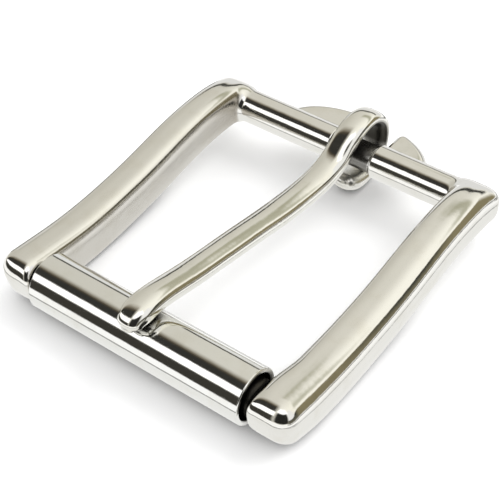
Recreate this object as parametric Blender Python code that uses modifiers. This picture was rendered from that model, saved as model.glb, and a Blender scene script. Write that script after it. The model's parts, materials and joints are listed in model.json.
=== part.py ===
"""Roller belt buckle for a 40 mm strap: a one-piece frame, a tongue hooked round its heel bar, a roller.

X runs along the roller and the heel bar, Y along the strap from the roller to the heel bar, Z up from
the surface the buckle lies on. The origin is under the middle of the whole buckle. Lengths in metres.
"""
import math

import bmesh
import bpy
from mathutils import Matrix, Vector

MM = 0.001

# Side rails. One on the +X side is described; the other mirrors it, without the swell
RAIL_FRONT = -30.8 * MM            # foremost point of the frame
RAIL_HEEL = 26.8 * MM              # rear end of a rail, behind the heel bar
RAIL_KNOTS = [-25.6, -17.2, -8.8, -0.5, 7.8, 16.2, 21.4, 26.0]       # mm along Y
RAIL_TOP = [8.35, 7.80, 8.10, 9.10, 10.55, 11.10, 10.55, 9.10]       # mm, height of the wavy top
RAIL_BASE = [0.60, 0.05, 0.40, 1.40, 2.85, 3.75, 3.55, 3.10]         # mm, height of the underside
RAIL_INNER = [19.95, 19.95, 20.1, 20.2, 20.25, 20.3, 20.35, 20.4]     # mm from the middle plane
RAIL_OUTER = [26.65, 26.65, 26.65, 26.7, 26.7, 26.7, 26.7, 26.7]      # mm from the middle plane
INNER_POWER, OUTER_POWER, BASE_POWER = 3.8, 2.6, 4.2   # squareness of the upper edges and the foot
RAIL_STEPS, RAIL_SIDES = 36, 32
# How far the inner, outer, top and lower faces draw in at an end, and over what length, in mm
NOSE = ((0.8, 1.0), (2.7, 3.0), (3.6, 3.6), (2.2, 2.8))
HEEL = ((1.8, 3.4), (2.0, 2.6), (3.0, 3.4), (1.6, 3.0))
END_POWER = 2.1
SWELL, SWELL_START, SWELL_LENGTH = 0.6, -19.0, 6.0   # mm by which the +X nose stands in to the roller
FOOT_X, FOOT_Y, FOOT_FADE = 1.7, 1.4, 9.0            # mm by which a nose's foot stands in, and its fading

# Roller, and the axle of the frame inside it
AXLE_Y, AXLE_Z = -26.55 * MM, 4.42 * MM
ROLLER_RADIUS, ROLLER_WALL, ROLLER_LENGTH = 4.38 * MM, 0.75 * MM, 38.0 * MM
ROLLER_SHIFT = -0.62 * MM          # it rests against one side of its play
AXLE_RADIUS = 2.95 * MM
SEAM = 0.25 * MM                   # butt seam of the rolled sheet, on the underside
RIM = 0.22 * MM                    # rounding of the roller's rims

# Heel bar, its neck and the two ears that flank the tongue
BAR_Y, BAR_Z, BAR_RADIUS = 22.95 * MM, 6.62 * MM, 2.82 * MM
NECK_RADIUS, NECK_HALF = 2.35 * MM, 3.45 * MM
NECK_MIDDLE = 1.85 * MM            # the neck and the notch stand to one side of the middle
BAR_SINK = 2.4 * MM                # how far both bars run into the rails
EAR_HALF, EAR_REACH = 13.6 * MM, 8.4 * MM
EAR_TOP, EAR_BASE = 0.9 * MM, -2.1 * MM       # above and below the heel bar's axis
EAR_POWER = 2.3
EAR_EDGE = 0.9 * MM

# Tongue: a bar of changing section along a bent centre line, hooked round the neck
TIP_SIDE = -0.65 * MM              # the tip stands this far from the middle
HOOK_SIDE = NECK_MIDDLE - 0.3 * MM  # and the hook here, in its play on the neck
CENTRE_LINE = [                    # mm: Y, Z, width, thickness, from the tip to the end of the hook
    (-30.25, 9.10, 2.0, 1.6),
    (-30.05, 9.35, 3.1, 2.4),
    (-29.45, 9.95, 4.0, 3.0),
    (-28.45, 10.42, 4.55, 3.2),
    (-27.00, 10.72, 4.65, 3.3),
    (-25.00, 10.75, 4.55, 3.3),
    (-22.50, 10.45, 4.45, 3.3),
    (-17.50, 9.64, 4.45, 3.3),
    (-12.50, 9.04, 4.45, 3.3),
    (-8.00, 8.55, 4.55, 3.3),
    (-3.00, 7.97, 4.55, 3.3),
    (2.00, 7.38, 4.65, 3.3),
    (7.00, 7.02, 4.65, 3.4),
    (10.60, 7.00, 4.65, 3.4),
    (13.40, 7.25, 4.65, 3.4),
    (15.70, 7.80, 4.65, 3.4),
    (17.60, 8.70, 4.65, 3.3),
    (19.20, 9.95, 4.4, 3.1),
    (20.75, 11.10, 4.4, 2.9),
    (22.50, 11.92, 4.4, 2.6),
    (24.40, 12.18, 4.4, 2.4),
    (26.30, 11.80, 4.4, 2.3),
    (27.90, 10.70, 4.4, 2.2),
    (29.05, 9.10, 4.4, 2.2),
    (29.45, 7.10, 4.4, 2.2),
    (29.20, 5.05, 4.4, 2.2),
    (28.25, 3.25, 4.5, 2.3),
    (26.60, 1.92, 4.6, 2.4),
    (24.60, 1.38, 4.6, 2.5),
    (22.70, 1.46, 4.7, 2.7),
    (21.20, 1.82, 4.7, 2.8),
    (20.30, 2.20, 4.3, 2.6),
    (19.80, 2.45, 3.5, 2.1),
    (19.55, 2.60, 2.2, 1.3),
]
SHANK_POWER = 2.4
TONGUE_SIDES = 20


def clear_scene():
    for obj in list(bpy.data.objects):
        bpy.data.objects.remove(obj)


def make_collection(name):
    made = bpy.data.collections.new(name)
    bpy.context.scene.collection.children.link(made)
    return made


def metal(name, colour, roughness):
    made = bpy.data.materials.new(name)
    made.use_nodes = True
    shader = made.node_tree.nodes["Principled BSDF"]
    shader.inputs["Base Color"].default_value = (*colour, 1.0)
    shader.inputs["Metallic"].default_value = 1.0
    shader.inputs["Roughness"].default_value = roughness
    return made


def spline(knots, values):
    """Natural cubic through the knots, as a function."""
    n = len(knots)
    h = [knots[i + 1] - knots[i] for i in range(n - 1)]
    lower = [0.0] * n
    right = [0.0] * n
    for i in range(1, n - 1):
        pull = (values[i + 1] - values[i]) / h[i] - (values[i] - values[i - 1]) / h[i - 1]
        pivot = 2 * (h[i - 1] + h[i]) - h[i - 1] * lower[i - 1]
        lower[i] = h[i] / pivot
        right[i] = (6 * pull - h[i - 1] * right[i - 1]) / pivot
    bend = [0.0] * n
    for i in range(n - 2, 0, -1):
        bend[i] = right[i] - lower[i] * bend[i + 1]

    def at(x):
        i = max(0, min(n - 2, sum(1 for k in knots[1:-1] if x >= k)))
        a = (knots[i + 1] - x) / h[i]
        b = (x - knots[i]) / h[i]
        cubic = (a ** 3 - a) * bend[i] + (b ** 3 - b) * bend[i + 1]
        return a * values[i] + b * values[i + 1] + cubic * h[i] ** 2 / 6

    return at


def rounded_unit(sides, power_at):
    """Points round a unit section, squarer where power_at(u, v) is higher."""
    points = []
    for i in range(sides):
        turn = 2 * math.pi * i / sides
        c, s = math.cos(turn), math.sin(turn)
        power = power_at(c, s)
        u = math.copysign(abs(c) ** (2 / power), c)
        v = math.copysign(abs(s) ** (2 / power), s)
        points.append((u, v))
    return points


def loft(name, rings, material, collection):
    """A closed body through rings of equal count, with flat ends."""
    work = bmesh.new()
    rows = [[work.verts.new(p) for p in ring] for ring in rings]
    count = len(rows[0])
    for a, b in zip(rows, rows[1:]):
        for i in range(count):
            j = (i + 1) % count
            work.faces.new((a[i], a[j], b[j], b[i]))
    work.faces.new(list(reversed(rows[0])))
    work.faces.new(rows[-1])
    bmesh.ops.recalc_face_normals(work, faces=work.faces)
    for face in work.faces:
        face.smooth = True
    mesh = bpy.data.meshes.new(name)
    work.to_mesh(mesh)
    work.free()
    mesh.materials.append(material)
    made = bpy.data.objects.new(name, mesh)
    collection.objects.link(made)
    return made


def turned(name, profile, steps, material, collection):
    """Profile of (radius, height) turned about Z, then laid along X."""
    mesh = bpy.data.meshes.new(name)
    edges = [(i, i + 1) for i in range(len(profile) - 1)]
    mesh.from_pydata([(r, 0.0, h) for r, h in profile], edges, [])
    mesh.materials.append(material)
    made = bpy.data.objects.new(name, mesh)
    collection.objects.link(made)
    screw = made.modifiers.new("Turn", "SCREW")
    screw.steps = steps
    screw.render_steps = steps
    screw.use_merge_vertices = True
    screw.merge_threshold = 0.00001
    screw.use_smooth_shade = True
    apply_modifiers(made)
    made.data.transform(Matrix.Rotation(math.pi / 2, 4, "Y"))
    return made


def apply_modifiers(obj):
    graph = bpy.context.evaluated_depsgraph_get()
    baked = bpy.data.meshes.new_from_object(obj.evaluated_get(graph))
    obj.modifiers.clear()
    obj.data = baked


def combine(obj, other, operation):
    joined = obj.modifiers.new(operation.title(), "BOOLEAN")
    joined.operation = operation
    joined.solver = "EXACT"
    joined.object = other
    apply_modifiers(obj)


def as_cutter(obj):
    obj.hide_render = True
    obj.display_type = "WIRE"


def make_rail(side, material, collection):
    top = spline(RAIL_KNOTS, RAIL_TOP)
    base = spline(RAIL_KNOTS, RAIL_BASE)
    inner = spline(RAIL_KNOTS, RAIL_INNER)
    outer = spline(RAIL_KNOTS, RAIL_OUTER)

    def power_at(u, v):
        if v < 0:
            return BASE_POWER
        return OUTER_POWER if u > 0 else INNER_POWER

    unit = rounded_unit(RAIL_SIDES, power_at)
    first, last = RAIL_FRONT / MM, RAIL_HEEL / MM
    reach = max(length for _, length in NOSE)
    end_steps = 9
    stations = [first + reach * (1 - math.cos(math.pi / 2 * i / end_steps)) for i in range(end_steps)]
    y0 = first + reach
    reach = max(length for _, length in HEEL)
    y1 = last - reach
    middle = RAIL_STEPS - 2 * end_steps
    for i in range(middle + 1):
        stations.append(y0 + (y1 - y0) * i / middle)
    for i in range(end_steps - 1, -1, -1):
        stations.append(last - reach * (1 - math.cos(math.pi / 2 * i / end_steps)))
    rings = []
    for y in stations:
        edges = [inner(y), outer(y), top(y), base(y)]
        if side > 0:
            near = max(0.0, min(1.0, (SWELL_START - y) / SWELL_LENGTH))
            edges[0] -= SWELL * near * near * (3 - 2 * near)
        for depth, draws in ((y - first, NOSE), (last - y, HEEL)):
            for face, sign in enumerate((1, -1, -1, 1)):
                draw, length = draws[face]
                near = max(0.0, min(1.0, 1 - depth / length))
                edges[face] += sign * draw * (1 - (1 - near ** END_POWER) ** (1 / END_POWER))
        x0, x1, z1, z0 = edges
        ring = []
        for u, v in unit:
            fade = max(0.0, 1 - (y - first) / FOOT_FADE) ** 2
            low = fade * ((1 - v) / 2) ** 2
            width = (x1 - x0) / 2
            x = (x0 + x1) / 2 + u * width - max(u, 0.0) * low * FOOT_X
            z = (z0 + z1) / 2 + v * (z1 - z0) / 2
            ring.append((side * x * MM, (y + low * FOOT_Y) * MM, z * MM))
        rings.append(ring)
    return loft("rail", rings, material, collection)


def make_ears(material, collection):
    """Half-moon plate behind the heel bar; the notch is cut out of it."""
    steps = 28
    outline = []
    for i in range(steps + 1):
        turn = math.pi * i / steps
        c, s = math.cos(turn), math.sin(turn)
        x = EAR_HALF * math.copysign(abs(c) ** (2 / EAR_POWER), c)
        y = EAR_REACH * s ** (2 / EAR_POWER)
        outline.append((x, BAR_Y + y))
    work = bmesh.new()
    low = [work.verts.new((x, y, BAR_Z + EAR_BASE)) for x, y in outline]
    face = work.faces.new(low)
    grown = bmesh.ops.extrude_face_region(work, geom=[face])
    up = Vector((0.0, 0.0, EAR_TOP - EAR_BASE))
    moved = [v for v in grown["geom"] if isinstance(v, bmesh.types.BMVert)]
    bmesh.ops.translate(work, verts=moved, vec=up)
    bmesh.ops.recalc_face_normals(work, faces=work.faces)
    mesh = bpy.data.meshes.new("ears")
    work.to_mesh(mesh)
    work.free()
    mesh.materials.append(material)
    made = bpy.data.objects.new("ears", mesh)
    collection.objects.link(made)
    return made


def make_box(name, low, high, material, collection):
    work = bmesh.new()
    bmesh.ops.create_cube(work, size=1.0)
    middle = (Vector(low) + Vector(high)) / 2
    size = Vector(high) - Vector(low)
    for vert in work.verts:
        vert.co = middle + Vector((vert.co.x * size.x, vert.co.y * size.y, vert.co.z * size.z))
    mesh = bpy.data.meshes.new(name)
    work.to_mesh(mesh)
    work.free()
    mesh.materials.append(material)
    made = bpy.data.objects.new(name, mesh)
    collection.objects.link(made)
    return made


def make_frame(material, collection, cutters):
    frame = make_rail(1, material, collection)
    frame.name = "frame"
    other = make_rail(-1, material, cutters)
    axle_half = RAIL_INNER[0] * MM + BAR_SINK
    axle = turned(
        "axle",
        [(0.0, axle_half), (AXLE_RADIUS, axle_half), (AXLE_RADIUS, -axle_half), (0.0, -axle_half)],
        28, material, cutters,
    )
    axle.data.transform(Matrix.Translation((0.0, AXLE_Y, AXLE_Z)))
    bar_half = RAIL_INNER[-1] * MM + BAR_SINK
    step = BAR_RADIUS - NECK_RADIUS
    shoulder = []
    for i in range(4):
        turn = math.pi / 2 * i / 3
        shoulder.append((BAR_RADIUS - step * (1 - math.cos(turn)), NECK_HALF + step * (1 - math.sin(turn))))
    profile = [(0.0, bar_half), (BAR_RADIUS, bar_half)]
    profile += [(r, NECK_MIDDLE + h) for r, h in shoulder]
    profile += [(r, NECK_MIDDLE - h) for r, h in reversed(shoulder)]
    profile += [(BAR_RADIUS, -bar_half), (0.0, -bar_half)]
    bar = turned("bar", profile, 28, material, cutters)
    bar.data.transform(Matrix.Translation((0.0, BAR_Y, BAR_Z)))
    ears = make_ears(material, cutters)
    edge = ears.modifiers.new("Round", "BEVEL")
    edge.width = EAR_EDGE
    edge.segments = 3
    edge.limit_method = "ANGLE"
    apply_modifiers(ears)
    notch = make_box(
        "notch",
        (NECK_MIDDLE - NECK_HALF, BAR_Y - 10 * MM, BAR_Z - 6 * MM),
        (NECK_MIDDLE + NECK_HALF, BAR_Y + 12 * MM, BAR_Z + 6 * MM),
        material, cutters,
    )
    combine(ears, notch, "DIFFERENCE")
    for piece in (other, axle, bar, ears):
        combine(frame, piece, "UNION")
    for piece in (other, axle, bar, ears, notch):
        as_cutter(piece)
    return frame


def make_roller(material, collection, cutters):
    half = ROLLER_LENGTH / 2
    bore = ROLLER_RADIUS - ROLLER_WALL
    profile = [
        (bore + RIM, half),
        (ROLLER_RADIUS - RIM, half),
        (ROLLER_RADIUS - RIM * 0.29, half - RIM * 0.29),
        (ROLLER_RADIUS, half - RIM),
        (ROLLER_RADIUS, -half + RIM),
        (ROLLER_RADIUS - RIM * 0.29, -half + RIM * 0.29),
        (ROLLER_RADIUS - RIM, -half),
        (bore + RIM, -half),
        (bore, -half + RIM),
        (bore, half - RIM),
        (bore + RIM, half),
    ]
    roller = turned("roller", profile, 48, material, collection)
    seam = make_box(
        "seam",
        (-half - MM, -SEAM / 2, -ROLLER_RADIUS - MM),
        (half + MM, SEAM / 2, -bore + MM),
        material, cutters,
    )
    combine(roller, seam, "DIFFERENCE")
    as_cutter(seam)
    seam.location = (ROLLER_SHIFT, AXLE_Y, AXLE_Z)
    roller.location = (ROLLER_SHIFT, AXLE_Y, AXLE_Z)
    return roller


def make_tongue(material, collection):
    """A bar of changing section along the centre line, which leans in X between the hook and the tip."""
    unit = rounded_unit(TONGUE_SIDES, lambda u, v: SHANK_POWER)
    path = [(y * MM - BAR_Y, z * MM - BAR_Z, w * MM, t * MM) for y, z, w, t in CENTRE_LINE]
    rings = []
    for i, (y, z, width, thick) in enumerate(path):
        before = path[max(0, i - 1)]
        after = path[min(len(path) - 1, i + 1)]
        along = Vector((0.0, after[0] - before[0], after[1] - before[1])).normalized()
        normal = Vector((0.0, -along.z, along.y))
        part = max(0.0, min(1.0, y / path[0][0]))
        side = HOOK_SIDE + (TIP_SIDE - HOOK_SIDE) * part
        ring = []
        for u, v in unit:
            spot = Vector((side + u * width / 2, y, z)) + normal * (v * thick / 2)
            ring.append(tuple(spot))
        rings.append(ring)
    tongue = loft("tongue", rings, material, collection)
    tongue.location = (0.0, BAR_Y, BAR_Z)
    return tongue


def main():
    clear_scene()
    parts = make_collection("roller_buckle")
    cutters = make_collection("cutters")
    make_frame(metal("frame_metal", (0.78, 0.77, 0.74), 0.12), parts, cutters)
    make_roller(metal("roller_metal", (0.80, 0.80, 0.79), 0.09), parts, cutters)
    make_tongue(metal("tongue_metal", (0.79, 0.78, 0.75), 0.10), parts)


main()
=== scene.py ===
"""Roller belt buckle in polished metal, modelled smoothly round its CAD frame and set in a small studio.

X runs along the roller and the heel bar, Y along the strap towards the heel bar, Z up. The three pieces
are built in millimetres and scaled to metres at the end. The frame is one cast surface, found as the zero
level of a smooth field, so its bars, rails and ears run into each other with real fillets.
"""
import json
import math

import bpy
import numpy as np
from mathutils import Matrix, Vector


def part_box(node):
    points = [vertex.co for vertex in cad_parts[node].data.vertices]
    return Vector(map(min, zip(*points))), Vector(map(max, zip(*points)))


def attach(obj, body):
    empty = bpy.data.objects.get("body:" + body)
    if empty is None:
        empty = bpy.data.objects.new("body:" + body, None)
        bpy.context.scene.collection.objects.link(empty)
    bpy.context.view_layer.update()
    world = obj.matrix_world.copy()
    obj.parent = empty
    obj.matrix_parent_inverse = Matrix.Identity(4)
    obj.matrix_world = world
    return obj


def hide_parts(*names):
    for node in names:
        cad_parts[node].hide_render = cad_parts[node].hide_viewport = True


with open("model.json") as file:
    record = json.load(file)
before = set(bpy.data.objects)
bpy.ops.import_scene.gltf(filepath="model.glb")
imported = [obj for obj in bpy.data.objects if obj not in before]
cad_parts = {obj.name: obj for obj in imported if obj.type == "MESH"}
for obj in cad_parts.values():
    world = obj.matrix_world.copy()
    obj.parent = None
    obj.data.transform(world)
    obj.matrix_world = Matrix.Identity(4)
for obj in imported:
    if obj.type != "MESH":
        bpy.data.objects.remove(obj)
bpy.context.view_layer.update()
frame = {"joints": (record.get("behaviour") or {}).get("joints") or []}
JOINTS = {joint["name"]: joint for joint in frame["joints"]}

MM = 0.001
BAR = Vector(JOINTS["tongue_swing"]["pos_m"]) / MM
AXLE = Vector(JOINTS["roller_spin"]["pos_m"]) / MM

# Side rails, mm: the same sections as the CAD frame
RAIL_ENDS = (-30.8, 26.8)
RAIL_KNOTS = [-25.6, -17.2, -8.8, -0.5, 7.8, 16.2, 21.4, 26.0]
RAIL_TOP = [8.35, 7.80, 8.10, 9.10, 10.55, 11.10, 10.55, 9.10]
RAIL_BASE = [0.60, 0.05, 0.40, 1.40, 2.85, 3.75, 3.55, 3.10]
RAIL_INNER = [19.95, 19.95, 20.1, 20.2, 20.25, 20.3, 20.35, 20.4]
RAIL_OUTER = [26.65, 26.65, 26.65, 26.7, 26.7, 26.7, 26.7, 26.7]
INNER_POWER, OUTER_POWER, BASE_POWER = 3.8, 2.6, 4.2
# How far the inner, outer, top and bottom faces draw in at an end of a rail, and over what length
NOSE = ((0.8, 1.0), (2.7, 3.0), (3.6, 3.6), (2.2, 2.8))
HEEL = ((1.8, 3.4), (2.0, 2.6), (3.0, 3.4), (1.6, 3.0))
END_POWER = 2.1
SWELL, SWELL_START, SWELL_LENGTH = 0.6, -19.0, 6.0   # the right nose stands in towards the roller
FOOT_X, FOOT_Y, FOOT_FADE = 1.7, 1.4, 9.0            # a nose's foot stands in, less and less over 9 mm

# Axle, heel bar with its neck, and the ears behind it, mm
AXLE_RADIUS, AXLE_SINK = 2.95, 1.5
BAR_RADIUS, BAR_SINK = 2.82, 2.2
NECK_RADIUS, NECK_HALF, NECK_MIDDLE, NECK_SHOULDER = 2.35, 3.45, 1.85, 0.7
EAR_HALF, EAR_REACH, EAR_TOP, EAR_BASE, EAR_POWER = 13.6, 8.4, 0.9, -2.1, 2.3
EAR_EDGE, EAR_CORNER, EAR_NOTCH = 0.9, 1.3, 0.1

# Fillets of the casting: the one at the heel bar grows from the rail's outer side to its inner side
FILLET, BAR_FILLET, BAR_FILLET_FROM, BAR_FILLET_OVER = 0.5, 0.9, 23.0, 2.4
GRID = 0.24          # cell of the grid that the frame's surface is found on
SETTLE_ROUNDS = 4

ROLLER_RADIUS, ROLLER_WALL, ROLLER_LENGTH, ROLLER_SHIFT = 4.38, 0.75, 38.0, -0.62
ROLLER_SEAM, ROLLER_RIM = 0.25, 0.22
ROLLER_STEPS, RIM_STEPS = 240, 6
# Places of the edge loops along the roller, closer at its ends so that the long faces shade flat
ROLLER_SHARES = (-0.998, -0.99, -0.9, -0.6, -0.3, 0, 0.3, 0.6, 0.9, 0.99, 0.998)

TIP_SIDE, HOOK_SIDE = -0.65, NECK_MIDDLE - 0.3
TONGUE_POWER = 2.4
TONGUE_STEPS, TONGUE_SIDES, TONGUE_CAP_STEPS = 420, 72, 14
TIP_DOME, HOOK_DOME, LAST_RING = 0.35, 0.3, 0.03   # domes by thickness, and the last ring's size in them
# Centre line from the tip to the end of the hook: y, z, width and thickness
TONGUE_LINE = [
    (-30.25, 9.10, 2.0, 1.6),
    (-30.05, 9.35, 3.1, 2.4),
    (-29.45, 9.95, 4.0, 3.0),
    (-28.45, 10.42, 4.55, 3.2),
    (-27.00, 10.72, 4.65, 3.3),
    (-25.00, 10.75, 4.55, 3.3),
    (-22.50, 10.45, 4.45, 3.3),
    (-17.50, 9.64, 4.45, 3.3),
    (-12.50, 9.04, 4.45, 3.3),
    (-8.00, 8.55, 4.55, 3.3),
    (-3.00, 7.97, 4.55, 3.3),
    (2.00, 7.38, 4.65, 3.3),
    (7.00, 7.02, 4.65, 3.4),
    (10.60, 7.00, 4.65, 3.4),
    (13.40, 7.25, 4.65, 3.4),
    (15.70, 7.80, 4.65, 3.4),
    (17.60, 8.70, 4.65, 3.3),
    (19.20, 9.95, 4.4, 3.1),
    (20.75, 11.10, 4.4, 2.9),
    (22.50, 11.92, 4.4, 2.6),
    (24.40, 12.18, 4.4, 2.4),
    (26.30, 11.80, 4.4, 2.3),
    (27.90, 10.70, 4.4, 2.2),
    (29.05, 9.10, 4.4, 2.2),
    (29.45, 7.10, 4.4, 2.2),
    (29.20, 5.05, 4.4, 2.2),
    (28.25, 3.25, 4.5, 2.3),
    (26.60, 1.92, 4.6, 2.4),
    (24.60, 1.38, 4.6, 2.5),
    (22.70, 1.46, 4.7, 2.7),
    (21.20, 1.82, 4.7, 2.8),
    (20.30, 2.20, 4.3, 2.6),
    (19.80, 2.45, 3.5, 2.1),
    (19.55, 2.60, 2.2, 1.3),
]

# Metals, lengths in mm and noise scales per metre
HAIR_SCALE, PATCH_SCALE, CLOUD_SCALE, WAVE_SCALE = 9000.0, 260.0, 120.0, 420.0
HAIR_DEPTH, CREVICE = 0.004, 3.5
# the colours of the random dull patches, of the painted shade on the rails' inner walls, and of the painted
# shade in crevices, inside the tongue's hook and on the axle and neck
DULL, WALL_SHADE, PAINTED_SHADE = (0.60, 0.55, 0.42), (0.42, 0.385, 0.33), (0.035, 0.032, 0.026)

# Studio, m and W
SOFT_LIGHT = 1.2
LAMP_PLACE, LAMP_SIZE, LAMP_ENERGY = Vector((0.30, 0.62, 0.55)), 0.8, 5.0
FLOOR_HALF, FLOOR_DROP = 3.0, 0.0001

# Camera, mm
CAMERA_PLACE = Vector((84.6716, -113.2375, 133.1772))
CAMERA_BACK = Vector((0.446343, -0.579298, 0.682050))
CAMERA_RIGHT = Vector((0.799408, 0.600648, -0.012985))
SENSOR_WIDTH, LENS = 36.0, 90.02808


def spline(knots, values):
    """Natural cubic through the knots, as a function of an array."""
    k = np.array(knots, float)
    v = np.array(values, float)
    h = np.diff(k)
    n = len(k)
    system = np.eye(n)
    right = np.zeros(n)
    for i in range(1, n - 1):
        system[i, i - 1], system[i, i], system[i, i + 1] = h[i - 1], 2 * (h[i - 1] + h[i]), h[i]
        right[i] = 6 * ((v[i + 1] - v[i]) / h[i] - (v[i] - v[i - 1]) / h[i - 1])
    bend = np.linalg.solve(system, right)

    def at(x):
        i = np.clip(np.searchsorted(k, x, side="right") - 1, 0, n - 2)
        a = (k[i + 1] - x) / h[i]
        b = 1 - a
        cubic = (a ** 3 - a) * bend[i] + (b ** 3 - b) * bend[i + 1]
        return a * v[i] + b * v[i + 1] + cubic * h[i] ** 2 / 6

    return at


RAIL_EDGES = [spline(RAIL_KNOTS, values) for values in (RAIL_INNER, RAIL_OUTER, RAIL_BASE, RAIL_TOP)]


def smooth_min(a, b, size):
    blend = np.clip(0.5 + 0.5 * (b - a) / size, 0, 1)
    return b + (a - b) * blend - size * blend * (1 - blend)


def rounded_and(a, b, radius):
    """Where both fields are inside, with the edge between them rounded."""
    outside = np.hypot(np.maximum(a + radius, 0), np.maximum(b + radius, 0))
    return outside + np.minimum(np.maximum(a + radius, b + radius), 0) - radius


def rail_field(x, y, z, right):
    """Distance-like field of a rail, x measured outwards: superelliptic sections drawn in at both ends."""
    inner, outer, base, top = [edge(y) for edge in RAIL_EDGES]
    near = np.clip((SWELL_START - y) / SWELL_LENGTH, 0, 1)
    inner = inner - np.where(right, SWELL, 0) * near ** 2 * (3 - 2 * near)
    fade = np.clip(1 - (y - RAIL_ENDS[0]) / FOOT_FADE, 0, 1) ** 2
    low = fade * np.clip((top - z) / (top - base), 0, 1) ** 2
    y = y - FOOT_Y * low
    for depth, draws in ((y - RAIL_ENDS[0], NOSE), (RAIL_ENDS[1] - y, HEEL)):
        drawn = []
        for draw, length in draws:
            near = np.clip(1 - depth / length, 0, 1)
            drawn.append(draw * (1 - (1 - near ** END_POWER) ** (1 / END_POWER)))
        inner = inner + drawn[0]
        outer = outer - drawn[1]
        top = top - drawn[2]
        base = base + drawn[3]
    middle = (outer + inner) / 2
    outer = outer - FOOT_X * low * np.clip((x - middle) / (outer - middle), 0, 1)
    half_x, half_z = (outer - inner) / 2, (top - base) / 2
    u = (x - (outer + inner) / 2) / half_x
    v = (z - (top + base) / 2) / half_z
    edge = np.where(v > 0, np.where(u > 0, OUTER_POWER, INNER_POWER), BASE_POWER)
    section = ((np.abs(u) ** edge + np.abs(v) ** edge + 1e-12) ** (1 / edge) - 1) * np.minimum(half_x, half_z)
    return np.maximum(section, np.maximum(RAIL_ENDS[0] - y, y - RAIL_ENDS[1]))


def frame_field(points):
    """The whole casting: negative inside, with rails and bars run together by smooth minima."""
    x = np.abs(points[..., 0])
    y, z = points[..., 1], points[..., 2]
    axle = np.hypot(y - AXLE.y, z - AXLE.z) - AXLE_RADIUS
    axle = np.maximum(axle, x - RAIL_INNER[0] - AXLE_SINK)
    beside = np.abs(points[..., 0] - NECK_MIDDLE) - NECK_HALF
    reach = np.clip(beside / NECK_SHOULDER, 0, 1)
    radius = NECK_RADIUS + (BAR_RADIUS - NECK_RADIUS) * reach ** 2 * (3 - 2 * reach)
    bar = np.hypot(y - BAR.y, z - BAR.z) - radius
    bar = np.maximum(bar, x - RAIL_INNER[-1] - BAR_SINK)
    along = np.maximum(y - BAR.y, 0) / EAR_REACH
    outline = ((x / EAR_HALF) ** EAR_POWER + along ** EAR_POWER + 1e-12) ** (1 / EAR_POWER)
    outline = rounded_and((outline - 1) * EAR_REACH, EAR_NOTCH - beside, EAR_CORNER)
    middle, half = BAR.z + (EAR_TOP + EAR_BASE) / 2, (EAR_TOP - EAR_BASE) / 2
    ears = rounded_and(outline, np.abs(z - middle) - half, EAR_EDGE)
    ears = np.maximum(ears, BAR.y - y)
    rail = rail_field(x, y, z, points[..., 0] > 0)
    fillet = FILLET + BAR_FILLET * np.clip((BAR_FILLET_FROM - x) / BAR_FILLET_OVER, 0, 1)
    return smooth_min(smooth_min(rail, axle, FILLET), smooth_min(bar, ears, FILLET), fillet)


def slope(field, points, step=0.01):
    """Gradient of a field by central differences."""
    found = np.empty_like(points)
    for axis in range(3):
        shift = np.zeros(3)
        shift[axis] = step
        found[:, axis] = (field(points + shift) - field(points - shift)) / (2 * step)
    return found


def level_surface(field, low, high, step):
    """Quads round the zero level of a field, one vertex in each grid cell that the surface crosses."""
    axes = [np.arange(low[i], high[i] + step, step) for i in range(3)]
    grid = np.stack(np.meshgrid(*axes, indexing="ij"), axis=-1)
    values = field(grid)
    inside = values < 0
    nx, ny, nz = values.shape
    total = np.zeros((nx - 1, ny - 1, nz - 1, 3))
    count = np.zeros((nx - 1, ny - 1, nz - 1))
    crossings = []
    for axis in range(3):
        cut = [slice(None)] * 3
        cut[axis] = slice(0, -1)
        nxt = [slice(None)] * 3
        nxt[axis] = slice(1, None)
        crossed = inside[tuple(cut)] != inside[tuple(nxt)]
        where = np.argwhere(crossed)
        a = values[tuple(cut)][crossed]
        b = values[tuple(nxt)][crossed]
        spot = where.astype(float)
        spot[:, axis] += a / (a - b)
        spot = spot * step + np.array([axes[0][0], axes[1][0], axes[2][0]])
        others = [i for i in range(3) if i != axis]
        for d0 in (0, 1):
            for d1 in (0, 1):
                cell = where.copy()
                cell[:, others[0]] -= d0
                cell[:, others[1]] -= d1
                np.add.at(total, tuple(cell.T), spot)
                np.add.at(count, tuple(cell.T), 1)
        crossings.append((axis, others, where, a < 0))
    used = count > 0
    index = -np.ones(count.shape, int)
    index[used] = np.arange(used.sum())
    points = total[used] / count[used][:, None]
    quads = []
    for axis, others, where, starts_inside in crossings:
        corners = []
        for d0, d1 in ((1, 1), (0, 1), (0, 0), (1, 0)):
            cell = where.copy()
            cell[:, others[0]] -= d0
            cell[:, others[1]] -= d1
            corners.append(index[tuple(cell.T)])
        quad = np.stack(corners, axis=1)
        turn = starts_inside if axis != 1 else ~starts_inside
        quad[~turn] = quad[~turn][:, ::-1]
        quads.append(quad)
    return points, np.concatenate(quads)


def settle(field, points, quads, rounds):
    """Evens out the vertices along the surface and puts each one exactly on it."""
    pairs = np.concatenate([quads[:, [i, (i + 1) % 4]] for i in range(4)])
    for step in range(rounds + 1):
        for _ in range(2):
            grade = slope(field, points)
            size = np.maximum((grade ** 2).sum(1), 1e-6)
            points = points - grade * np.clip(field(points) / size, -0.2, 0.2)[:, None]
        if step == rounds:
            break
        total = np.zeros_like(points)
        count = np.zeros(len(points))
        np.add.at(total, pairs[:, 0], points[pairs[:, 1]])
        np.add.at(count, pairs[:, 0], 1)
        shift = total / count[:, None] - points
        normal = grade / np.sqrt(size)[:, None]
        shift -= normal * (shift * normal).sum(1)[:, None]
        points = points + 0.6 * shift
    grade = slope(field, points)
    return points, grade / np.linalg.norm(grade, axis=1)[:, None]


def volume(points, faces):
    """Six times the volume that the faces enclose with the origin, negative when they point inwards."""
    total = 0.0
    for face in faces:
        a = points[face[0]]
        for i in range(1, len(face) - 1):
            total += np.dot(a, np.cross(points[face[i]], points[face[i + 1]]))
    return total


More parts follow.
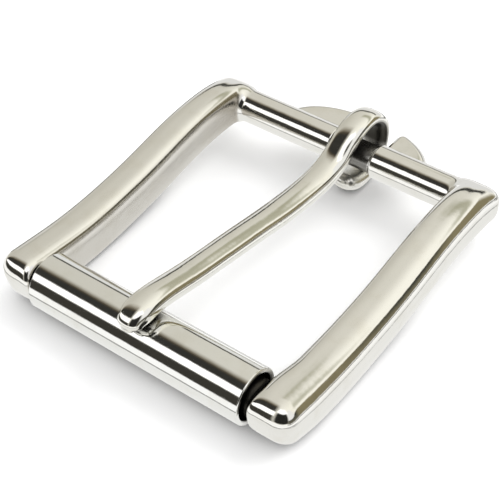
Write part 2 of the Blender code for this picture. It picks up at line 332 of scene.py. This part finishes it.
def piece(node, points, faces, material, normals=None):
    """Object made from points in mm, riding on the body of its CAD node and standing in for that node."""
    # the sign of the volume is clear from every seventh face
    if volume(np.asarray(points), faces[::7]) < 0:
        faces = [list(face)[::-1] for face in faces]
    mesh = bpy.data.meshes.new("buckle_" + node)
    mesh.from_pydata((np.asarray(points) * MM).tolist(), [], [list(map(int, f)) for f in faces])
    mesh.materials.append(material)
    mesh.shade_smooth()
    if normals is not None:
        mesh.normals_split_custom_set_from_vertices(normals.tolist())
    made = bpy.data.objects.new(mesh.name, mesh)
    bpy.context.scene.collection.objects.link(made)
    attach(made, node)
    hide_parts(node)
    return made


def build_frame(material):
    low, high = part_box("frame")
    low = [v / MM - 0.5 for v in low]
    high = [v / MM + 0.5 for v in high]
    points, quads = level_surface(frame_field, low, high, GRID)
    points, normals = settle(frame_field, points, quads, SETTLE_ROUNDS)
    piece("frame", points, quads, material, normals)


def build_roller(material):
    """The rolled sheet's section swept round the axle, open at the butt seam underneath."""
    half, bore = ROLLER_LENGTH / 2, ROLLER_RADIUS - ROLLER_WALL
    straight = half - ROLLER_RIM
    section = []
    corners = ((half, ROLLER_RADIUS), (-half, ROLLER_RADIUS), (-half, bore), (half, bore))
    for n, (x, r) in enumerate(corners):
        for i in range(RIM_STEPS + 1):
            turn = math.pi / 2 * (n + i / RIM_STEPS)
            cx = x - math.copysign(ROLLER_RIM, x)
            cr = r - math.copysign(ROLLER_RIM, r - (ROLLER_RADIUS + bore) / 2)
            section.append((cx + ROLLER_RIM * math.cos(turn), cr + ROLLER_RIM * math.sin(turn)))
        if n in (0, 2):
            for share in ROLLER_SHARES:
                section.append(((n - 1) * straight * share, r))
    opening = ROLLER_SEAM / 2 / ROLLER_RADIUS
    points, faces = [], []
    for i in range(ROLLER_STEPS + 1):
        turn = -math.pi / 2 + opening + (2 * math.pi - 2 * opening) * i / ROLLER_STEPS
        for x, r in section:
            points.append((x + ROLLER_SHIFT, AXLE.y + r * math.cos(turn), AXLE.z + r * math.sin(turn)))
    n = len(section)
    for i in range(ROLLER_STEPS):
        for j in range(n):
            k = (j + 1) % n
            faces.append((i * n + j, i * n + k, (i + 1) * n + k, (i + 1) * n + j))
    faces.append(list(range(n - 1, -1, -1)))
    faces.append([ROLLER_STEPS * n + j for j in range(n)])
    made = piece("roller", points, faces, material)
    made.data.set_sharp_from_angle(angle=math.radians(40))


def build_tongue(material):
    """Rounded rings along the centre line, closed by a domed cap at each end."""
    line = np.array(TONGUE_LINE)
    run = np.concatenate([[0], np.cumsum(np.linalg.norm(np.diff(line[:, :2], axis=0), axis=1))])
    curves = [spline(run, line[:, i]) for i in range(4)]
    steps, sides, cap = TONGUE_STEPS, TONGUE_SIDES, TONGUE_CAP_STEPS
    at = np.linspace(0, run[-1], steps)
    y, z, width, thick = [curve(at) for curve in curves]
    dy, dz = np.gradient(y, at), np.gradient(z, at)
    size = np.hypot(dy, dz)
    dy, dz = dy / size, dz / size
    side = HOOK_SIDE + (TIP_SIDE - HOOK_SIDE) * np.clip((BAR.y - y) / (BAR.y - y[0]), 0, 1)
    turn = 2 * math.pi * np.arange(sides) / sides
    c, s = np.cos(turn), np.sin(turn)
    unit_x = np.sign(c) * np.abs(c) ** (2 / TONGUE_POWER)
    unit_n = np.sign(s) * np.abs(s) ** (2 / TONGUE_POWER)
    rings = []

    def ring(i, ahead, part):
        px = side[i] + unit_x * width[i] / 2 * part
        py = y[i] + dy[i] * ahead - dz[i] * unit_n * thick[i] / 2 * part
        pz = z[i] + dz[i] * ahead + dy[i] * unit_n * thick[i] / 2 * part
        rings.append(np.stack([px, py, pz], axis=1))

    for i in range(cap):
        a = math.pi / 2 * (1 - i / cap)
        ring(0, -math.sin(a) * thick[0] * TIP_DOME, max(math.cos(a), LAST_RING))
    for i in range(steps):
        ring(i, 0, 1)
    for i in range(1, cap + 1):
        a = math.pi / 2 * i / cap
        ring(-1, math.sin(a) * thick[-1] * HOOK_DOME, max(math.cos(a), LAST_RING))
    points = np.concatenate(rings)
    faces = []
    for i in range(len(rings) - 1):
        for j in range(sides):
            k = (j + 1) % sides
            faces.append((i * sides + j, i * sides + k, (i + 1) * sides + k, (i + 1) * sides + j))
    faces.append(list(range(sides - 1, -1, -1)))
    last = (len(rings) - 1) * sides
    faces.append([last + j for j in range(sides)])
    piece("tongue", points, faces, material)


class Graph:
    """Short names for the shader nodes that the studio and the metals are written with."""

    def __init__(self, tree):
        self.tree = tree

    def node(self, kind, **values):
        made = self.tree.nodes.new(kind)
        for key, value in values.items():
            setattr(made, key, value)
        return made

    def plug(self, socket, value):
        if isinstance(value, bpy.types.NodeSocket):
            self.tree.links.new(value, socket)
        else:
            socket.default_value = value

    def math(self, operation, *values):
        made = self.node("ShaderNodeMath", operation=operation)
        for socket, value in zip(made.inputs, values):
            self.plug(socket, value)
        return made.outputs[0]

    def noise(self, source, scale, detail):
        made = self.node("ShaderNodeTexNoise")
        self.plug(made.inputs["Vector"], source)
        made.inputs["Scale"].default_value = scale
        made.inputs["Detail"].default_value = detail
        return made.outputs["Fac"]

    def ramp(self, value, low, high, start=0.0, end=1.0):
        """start below low, end above high, smooth between."""
        made = self.node("ShaderNodeMapRange", interpolation_type="SMOOTHSTEP")
        for socket, entry in zip(made.inputs, (value, low, high, start, end)):
            self.plug(socket, entry)
        return made.outputs[0]

    def band(self, value, low, high, soft):
        """1 between low and high, falling to 0 over soft on both sides."""
        rise = self.ramp(value, low - soft / 2, low + soft / 2)
        fall = self.ramp(value, high - soft / 2, high + soft / 2, 1.0, 0.0)
        return self.math("MULTIPLY", rise, fall)

    def both(self, *masks):
        """Where all the masks are."""
        found = masks[0]
        for mask in masks[1:]:
            found = self.math("MULTIPLY", found, mask)
        return found

    def mix(self, mask, a, b):
        """Colour a where the mask is 0 and b where it is 1."""
        made = self.node("ShaderNodeMix", data_type="RGBA")
        self.plug(made.inputs["Factor"], mask)
        for name, value in (("A", a), ("B", b)):
            socket = [s for s in made.inputs if s.name == name and s.type == "RGBA"][0]
            self.plug(socket, (*value, 1.0) if isinstance(value, tuple) else value)
        return [s for s in made.outputs if s.type == "RGBA"][0]


def build_studio():
    """The room that the metal mirrors, by direction, and the plain white for the camera and the floor.

    Directions are angles in degrees: height above the horizon, round_z round the vertical from the front
    (-Y) towards +X, and round_x upwards round the X axis from the front.
    """
    world = bpy.data.worlds.new("studio")
    bpy.context.scene.world = world
    world.use_nodes = True
    tree = world.node_tree
    tree.nodes.clear()
    g = Graph(tree)
    out = g.node("ShaderNodeOutputWorld")
    spot = g.node("ShaderNodeTexCoord").outputs["Generated"]
    split = g.node("ShaderNodeSeparateXYZ")
    g.plug(split.inputs[0], spot)
    x, y, z = split.outputs
    degrees = 180 / math.pi
    height = g.math("MULTIPLY", g.math("ARCSINE", z), degrees)
    front = g.math("MULTIPLY", y, -1.0)
    round_z = g.math("MULTIPLY", g.math("ARCTAN2", x, front), degrees)
    round_x = g.math("MULTIPLY", g.math("ARCTAN2", z, front), degrees)

    # a large warm panel overhead and behind, brighter to the right
    room = g.mix(g.ramp(x, -0.85, 0.45), (0.62, 0.60, 0.53), (1.12, 1.10, 1.0))
    # a dim strip high at the back
    high = g.both(g.band(height, 36.0, 47.0, 9.0), g.ramp(y, 0.45, 0.72), g.ramp(x, -0.40, -0.28))
    room = g.mix(g.math("MULTIPLY", high, 0.75), room, (0.34, 0.335, 0.22))
    # right-hand wall
    wall = g.both(g.band(round_z, 62.0, 112.0, 16.0), g.band(height, 8.0, 64.0, 10.0))
    room = g.mix(wall, room, (1.0, 1.0, 1.0))
    # the unlit ceiling between the panel and the window on the left
    ceiling = g.both(g.ramp(round_x, 49.0, 56.0), g.ramp(round_x, 78.0, 100.0, 1.0, 0.0))
    ceiling = g.both(ceiling, g.ramp(x, -0.05, -0.30))
    wood = g.mix(g.ramp(round_x, 72.0, 90.0), (0.035, 0.034, 0.03), (0.16, 0.125, 0.075))
    room = g.mix(ceiling, room, wood)
    # a white card above the camera
    card = g.both(g.band(round_z, -12.0, 78.0, 14.0), g.band(height, 52.0, 80.0, 8.0))
    room = g.mix(card, room, (1.4, 1.4, 1.4))
    # the dark side of the room behind the camera
    dark = g.both(g.band(round_z, -6.0, 64.0, 14.0), g.band(height, -4.0, 54.0, 8.0))
    room = g.mix(dark, room, (0.02, 0.02, 0.018))
    low = g.both(g.band(round_x, -14.0, 27.0, 5.0), g.ramp(x, -0.1, -0.25), g.ramp(front, 0.0, 0.2))
    room = g.mix(low, room, (0.045, 0.042, 0.035))
    # its tall window
    window = g.both(g.band(round_x, 28.0, 52.0, 5.0), g.ramp(x, -0.12, -0.22), g.ramp(front, 0.1, 0.2))
    room = g.mix(window, room, (1.5, 1.5, 1.5))
    # a thin dark rail along the back, above the table
    thin = g.both(g.band(height, 15.5, 21.5, 3.0), g.ramp(y, 0.5, 0.7), g.ramp(x, 0.2, 0.0))
    room = g.mix(thin, room, (0.05, 0.05, 0.045))
    # the white table
    table = g.both(g.ramp(height, 15.0, 12.0), g.ramp(y, 0.45, 0.65), g.ramp(x, 0.3, 0.1))
    room = g.mix(table, room, (0.85, 0.85, 0.84))
    room = g.mix(g.ramp(height, -5.0, -9.0), room, (1.15, 1.15, 1.14))
    # the dark skirting to the right, browner towards the back, with the lit edge of the table under it
    right = g.band(round_z, 60.0, 160.0, 18.0)
    skirt = g.mix(g.ramp(height, 20.0, -12.0), (0.05, 0.05, 0.04), (0.17, 0.16, 0.12))
    skirt = g.mix(g.ramp(y, 0.44, 0.64), skirt, (0.27, 0.235, 0.14))
    raised = g.math("ADD", height, g.ramp(round_z, 90.0, 122.0, 13.0, 0.0))
    room = g.mix(g.both(g.ramp(height, -12.5, -8.5), g.ramp(raised, 27.0, 23.0), right), room, skirt)
    room = g.mix(g.both(g.band(height, -17.0, -13.5, 1.5), right), room, (0.16, 0.155, 0.13))
    room = g.mix(g.ramp(height, -26.0, -36.0), room, (0.95, 0.95, 0.93))
    # soft lines of shadow on the table
    line = g.both(g.band(height, -33.0, -29.0, 2.5), g.ramp(round_z, 130.0, 100.0))
    room = g.mix(g.math("MULTIPLY", line, 0.85), room, (0.10, 0.10, 0.085))
    line = g.both(g.band(height, -38.2, -36.6, 1.0), right)
    room = g.mix(g.math("MULTIPLY", line, 0.7), room, (0.10, 0.10, 0.085))
    rear = g.both(g.band(height, -23.0, -18.0, 4.0), g.ramp(y, 0.75, 0.85))
    room = g.mix(rear, room, (0.12, 0.12, 0.11))
    # the far edge of the table on the left
    edge = g.both(g.band(height, -22.0, -7.0, 4.0), g.band(y, 0.40, 0.70, 0.06), g.ramp(x, -0.2, -0.4))
    room = g.mix(edge, room, (0.13, 0.13, 0.12))

    mirrored = g.node("ShaderNodeBackground")
    g.plug(mirrored.inputs["Color"], room)
    plain, soft = g.node("ShaderNodeBackground"), g.node("ShaderNodeBackground")
    for white, strength in ((plain, 1.0), (soft, SOFT_LIGHT)):
        white.inputs["Color"].default_value = (1.0, 1.0, 1.0, 1)
        white.inputs["Strength"].default_value = strength
    path = g.node("ShaderNodeLightPath")
    seen = soft.outputs[0]
    for ray, other in (("Is Glossy Ray", mirrored), ("Is Camera Ray", plain)):
        choice = g.node("ShaderNodeMixShader")
        g.plug(choice.inputs[0], path.outputs[ray])
        g.plug(choice.inputs[1], seen)
        g.plug(choice.inputs[2], other.outputs[0])
        seen = choice.outputs[0]
    g.plug(out.inputs["Surface"], seen)


def polished_metal(name, colour, roughness, seed, wavy, hooked=False, walls=False, shaded_bars=()):
    """Mirror-polished metal: faint waves from polishing, hairlines, dulled patches and painted shade in
    crevices.

    wavy is the depth of the waves in mm. hooked paints shade on the inside of the tongue's hook, and walls
    paints shade on the inner walls of the rails. bare lists the round bars that get painted shade, each as
    axis y and z, radius, middle and half length in mm and a darkness.
    """
    made = bpy.data.materials.new(name)
    made.use_nodes = True
    tree = made.node_tree
    shader = tree.nodes["Principled BSDF"]
    g = Graph(tree)
    place = g.node("ShaderNodeTexCoord")
    spot = place.outputs["Object"]
    shifted = g.node("ShaderNodeMapping")
    g.plug(shifted.inputs["Vector"], spot)
    shifted.inputs["Location"].default_value = (seed, seed * 1.7, seed * 0.6)
    shifted = shifted.outputs[0]

    # polishing hairlines: noise drawn out along the strap and, fainter, along the bars
    hairs = []
    for stretch in ((1.0, 0.035, 1.0), (0.035, 1.0, 1.0)):
        drawn = g.node("ShaderNodeMapping")
        g.plug(drawn.inputs["Vector"], spot)
        drawn.inputs["Scale"].default_value = stretch
        drawn.inputs["Rotation"].default_value = (0.0, 0.1, 0.12 + seed * 0.1)
        hairs.append(g.ramp(g.noise(drawn.outputs[0], HAIR_SCALE, 2.0), 0.56, 0.72))
    hair = g.math("MAXIMUM", hairs[0], g.math("MULTIPLY", hairs[1], 0.6))
    patches = g.ramp(g.noise(shifted, PATCH_SCALE, 4.0), 0.45, 0.75)
    cloud = g.noise(shifted, CLOUD_SCALE, 3.0)
    rough = g.math("ADD", roughness, g.math("MULTIPLY", patches, 0.05))
    rough = g.math("ADD", rough, g.math("MULTIPLY", hair, 0.08))
    tint = g.mix(cloud, tuple(c * 0.97 for c in colour), tuple(c * 1.03 for c in colour))
    metal = g.mix(g.math("MULTIPLY", patches, 0.16), tint, DULL)

    # painted shade in crevices: where the occlusion node finds the surface shut in, the base colour goes to
    # the dark shade colour
    hollow = g.node("ShaderNodeAmbientOcclusion")
    hollow.samples = 8
    hollow.inputs["Distance"].default_value = CREVICE * MM
    # vertical walls beside the floor have about half their sky, and must not count as crevices
    unshaded = g.ramp(hollow.outputs["AO"], 0.12, 0.46)

    facing = g.node("ShaderNodeSeparateXYZ")
    g.plug(facing.inputs[0], place.outputs["Normal"])
    split = g.node("ShaderNodeSeparateXYZ")
    g.plug(split.inputs[0], spot)
    x, y, z = [g.math("MULTIPLY", axis, 1 / MM) for axis in split.outputs]

    def about(axis_y, axis_z):
        """y and z from an axis along X, and the distance from it, in mm."""
        dy, dz = g.math("SUBTRACT", y, axis_y), g.math("SUBTRACT", z, axis_z)
        return dy, dz, g.math("SQRT", g.math("ADD", g.math("MULTIPLY", dy, dy), g.math("MULTIPLY", dz, dz)))

    def less(value, mask):
        return g.math("MULTIPLY", value, g.math("SUBTRACT", 1.0, mask))

    if hooked:
        # painted shade on the inside of the tongue's hook, on the faces turned towards the heel bar
        dy, dz, across = about(BAR.y, BAR.z)
        lean_y = g.math("MULTIPLY", dy, facing.outputs[1])
        lean_z = g.math("MULTIPLY", dz, facing.outputs[2])
        lean = g.math("DIVIDE", g.math("ADD", lean_y, lean_z), across)
        inside = g.both(g.ramp(lean, 0.1, -0.4, 0.0, 0.98), g.ramp(across, 8.0, 6.5), g.ramp(dz, -3.0, -0.5))
        unshaded = less(unshaded, inside)
        rough = g.math("ADD", rough, g.ramp(dz, -2.2, -3.6, 0.0, 0.22))
    if walls:
        # painted shade: the rails' inner walls are mixed towards a dim grey-tan, more strongly towards the
        # heel bar, standing in for the darker surroundings they mirror
        inward = g.math("MULTIPLY", facing.outputs[0], g.math("MULTIPLY", g.math("SIGN", x), -1.0))
        wall = g.both(g.ramp(inward, 0.55, 0.9), g.band(g.math("ABSOLUTE", x), 17.0, 22.5, 0.5))
        wall = g.math("MULTIPLY", wall, g.ramp(y, 8.0, 24.0, 0.45, 0.95))
        metal = g.mix(wall, metal, WALL_SHADE)
        rough = g.math("ADD", rough, g.math("MULTIPLY", wall, 0.25))
    # painted shade on the round bars set deep between parts, the axle in the roller and the neck in the hook
    for axis_y, axis_z, radius, middle, half, dark in shaded_bars:
        across = about(axis_y, axis_z)[2]
        along = g.math("ABSOLUTE", g.math("SUBTRACT", x, middle))
        close = g.ramp(across, radius + 0.1, radius + 0.4, dark, 0.0)
        unshaded = less(unshaded, g.both(close, g.ramp(along, half - 0.2, half + 0.3, 1.0, 0.0)))
    # the base colour is the painted shade colour wherever the shade masks above reach
    g.plug(shader.inputs["Base Color"], g.mix(unshaded, PAINTED_SHADE, metal))
    rough = g.math("ADD", rough, g.math("MULTIPLY", g.math("SUBTRACT", 1.0, unshaded), 0.25))
    g.plug(shader.inputs["Roughness"], rough)
    shader.inputs["Metallic"].default_value = 1

    # waves of a few millimetres, then the hairlines
    waves = g.node("ShaderNodeBump")
    g.plug(waves.inputs["Height"], g.noise(shifted, WAVE_SCALE, 2.0))
    waves.inputs["Strength"].default_value = 0.5
    waves.inputs["Distance"].default_value = wavy * MM
    lines = g.node("ShaderNodeBump")
    g.plug(lines.inputs["Height"], hair)
    lines.inputs["Strength"].default_value = 0.2
    lines.inputs["Distance"].default_value = HAIR_DEPTH * MM
    g.plug(lines.inputs["Normal"], waves.outputs[0])
    g.plug(shader.inputs["Normal"], lines.outputs[0])
    return made


def build_floor():
    """Plain pale paper just under the buckle, which the metal mirrors as part of the studio instead."""
    mesh = bpy.data.meshes.new("floor")
    s = FLOOR_HALF
    mesh.from_pydata([(-s, -s, 0), (s, -s, 0), (s, s, 0), (-s, s, 0)], [], [(0, 1, 2, 3)])
    floor = bpy.data.objects.new("floor", mesh)
    bpy.context.scene.collection.objects.link(floor)
    floor.location.z = -FLOOR_DROP
    floor.visible_glossy = False
    material = bpy.data.materials.new("floor_paper")
    material.use_nodes = True
    shader = material.node_tree.nodes["Principled BSDF"]
    shader.inputs["Base Color"].default_value = (0.93, 0.93, 0.93, 1)
    shader.inputs["Roughness"].default_value = 0.6
    shader.inputs["Specular IOR Level"].default_value = 0.0
    mesh.materials.append(material)


def build_light():
    """A broad lamp behind and to the right, for the shadows that fall towards the front left."""
    lamp = bpy.data.lights.new("key", "AREA")
    lamp.shape = "DISK"
    lamp.size = LAMP_SIZE
    lamp.energy = LAMP_ENERGY
    key = bpy.data.objects.new("key", lamp)
    bpy.context.scene.collection.objects.link(key)
    key.location = LAMP_PLACE
    key.rotation_euler = (-LAMP_PLACE).to_track_quat("-Z", "Y").to_euler()
    key.visible_glossy = False
    bpy.context.scene.view_settings.view_transform = "Standard"


def build_camera():
    camera = bpy.data.objects.new("camera", bpy.data.cameras.new("camera"))
    bpy.context.scene.collection.objects.link(camera)
    bpy.context.scene.camera = camera
    back, right = CAMERA_BACK.normalized(), CAMERA_RIGHT.normalized()
    turn = Matrix((right, back.cross(right), back)).transposed().to_4x4()
    camera.matrix_world = Matrix.Translation(CAMERA_PLACE * MM) @ turn
    camera.data.sensor_width = SENSOR_WIDTH
    camera.data.lens = LENS
    camera.data.clip_start = 0.01


# painted shade on the axle inside the roller, and on the neck inside the hook
SHADED_BARS = [
    (AXLE.y, AXLE.z, AXLE_RADIUS, 0.0, RAIL_INNER[0], 0.97),
    (BAR.y, BAR.z, NECK_RADIUS, NECK_MIDDLE, NECK_HALF, 0.75),
]
build_frame(polished_metal("frame_metal", (0.83, 0.82, 0.79), 0.05, 1.0, 0.045, walls=True, shaded_bars=SHADED_BARS))
build_roller(polished_metal("roller_metal", (0.84, 0.84, 0.82), 0.04, 2.0, 0.018))
build_tongue(polished_metal("tongue_metal", (0.83, 0.82, 0.78), 0.045, 3.0, 0.05, hooked=True))
build_floor()
build_studio()
build_light()
build_camera()
